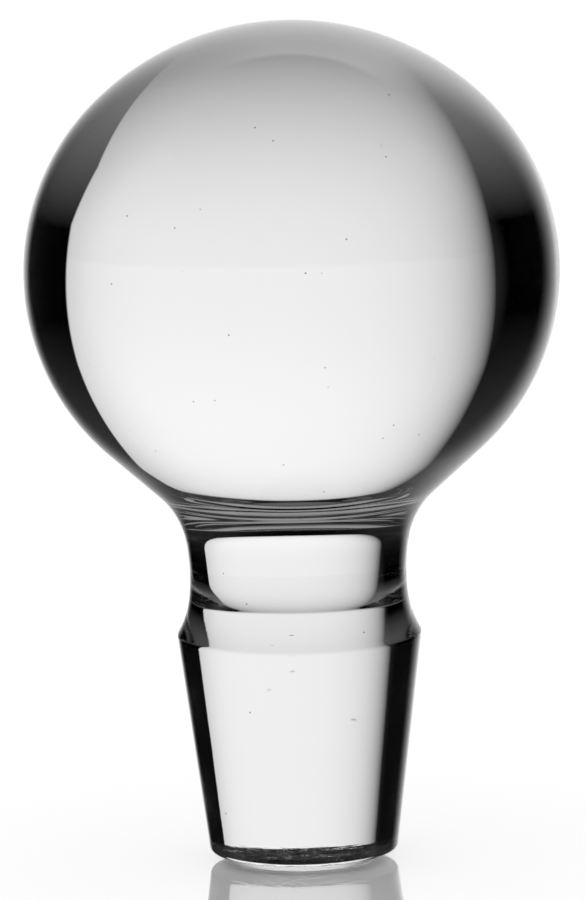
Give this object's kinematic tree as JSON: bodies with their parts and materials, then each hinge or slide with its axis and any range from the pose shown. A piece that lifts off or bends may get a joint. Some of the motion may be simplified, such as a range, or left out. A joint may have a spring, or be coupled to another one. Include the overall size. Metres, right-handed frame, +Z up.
{
  "type": "glass stopper",
  "caption": "Solid clear glass stopper: slightly flattened ball handle, short waisted neck, rounded ridge and a tapered plug with a bevelled flat foot.",
  "frame": {"origin": "centre of the flat foot, in the plane that the stopper stands on", "axes": "+Z up the stopper's own axis, from the plug to the ball; a turned piece, so X and Y are free"},
  "size_m": [0.0532, 0.0532, 0.0843],
  "materials": {
    "glass": "clear, fire-polished, with a finely ground plug"
  },
  "bodies": {
    "root": {"stopper": "glass"}
  },
  "joints": []
}
